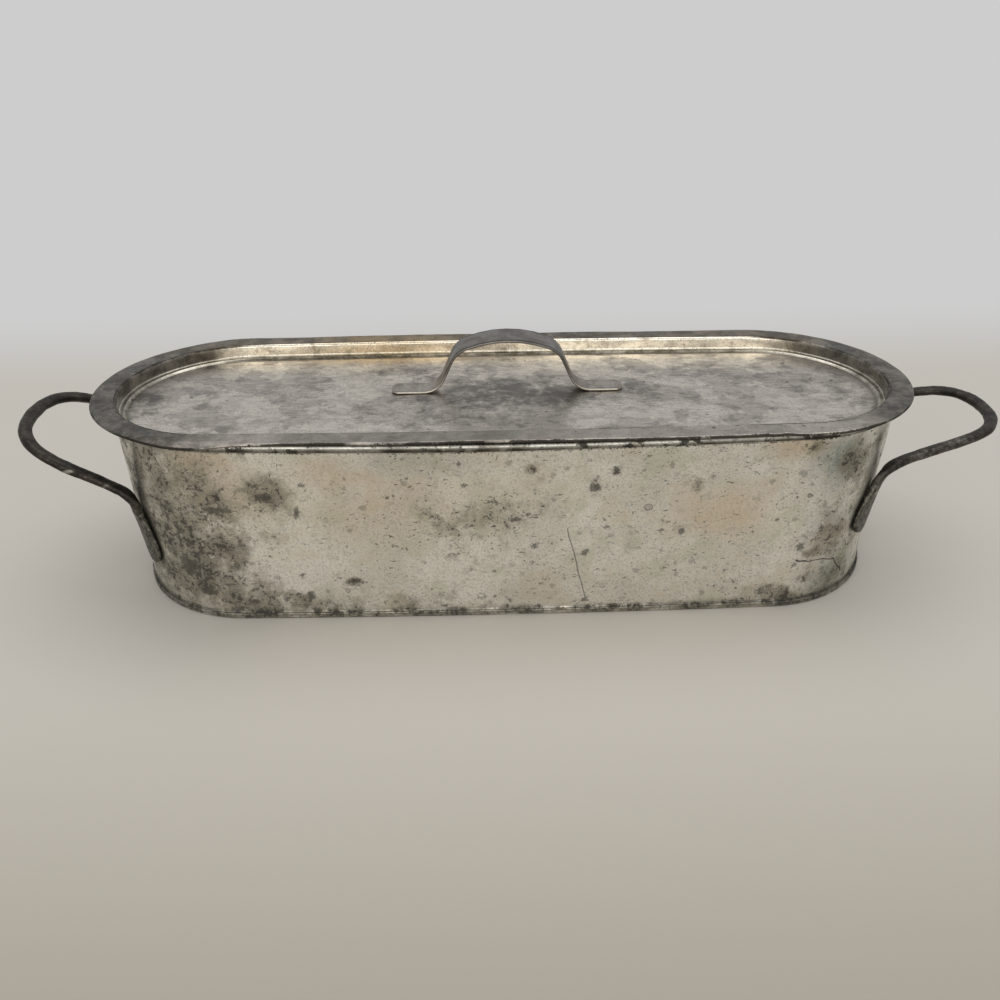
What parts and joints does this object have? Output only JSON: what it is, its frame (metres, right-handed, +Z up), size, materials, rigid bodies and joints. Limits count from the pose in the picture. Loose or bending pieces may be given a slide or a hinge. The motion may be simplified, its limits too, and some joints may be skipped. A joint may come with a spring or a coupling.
{
  "type": "fish kettle",
  "caption": "Long oblong steamer of tinned sheet steel with a drop-in lid, strap grip, bent bar end handles and a lift-out pierced rack.",
  "frame": {"origin": "centre of the kettle's base, on the underside that stands on the hob or table", "axes": "+X along the kettle, from the left handle to the right one as pictured; +Y from the pictured front wall to the rear wall; +Z up, the way the lid and the rack lift"},
  "size_m": [0.7293, 0.2048, 0.1772],
  "materials": {
    "tinned_sheet": "worn tinned sheet steel with grey pits and heat stains",
    "lid_sheet": "tarnished tinned sheet steel with rubbed streaks",
    "rack_tinned_sheet": "worn tinned sheet steel",
    "blackened_iron": "wrought iron blackened by heat, rubbed bright at the bends",
    "rack_bar": "tinned round bar, dulled",
    "rivet_iron": "tinned rivet",
    "rim_wire": "bare steel wire, closed in the rolled rim"
  },
  "bodies": {
    "kettle": {"base_plate": "tinned_sheet", "wall_front": "tinned_sheet", "wall_rear": "tinned_sheet", "rim_wire": "rim_wire", "handle_right": "blackened_iron", "handle_left": "blackened_iron"},
    "rack": {"rack_plate": "rack_tinned_sheet", "rack_handle_right": "rack_bar", "rack_handle_left": "rack_bar", "rack_rivet_1": "rivet_iron", "rack_rivet_2": "rivet_iron", "rack_rivet_3": "rivet_iron", "rack_rivet_4": "rivet_iron", "rack_rivet_5": "rivet_iron", "rack_rivet_6": "rivet_iron", "rack_rivet_7": "rivet_iron", "rack_rivet_8": "rivet_iron", "rack_foot_1": "rack_tinned_sheet", "rack_foot_2": "rack_tinned_sheet", "rack_foot_3": "rack_tinned_sheet", "rack_foot_4": "rack_tinned_sheet"},
    "lid": {"lid_pan": "lid_sheet", "lid_strap": "lid_sheet"}
  },
  "joints": [
    {"name": "rack_lift", "type": "slide", "parent": "kettle", "child": "rack", "axis": [0, 0, 1], "range_m": [0, 0.16]},
    {"name": "lid_lift", "type": "slide", "parent": "rack", "child": "lid", "axis": [0, 0, 1], "range_m": [0, 0.1]}
  ]
}
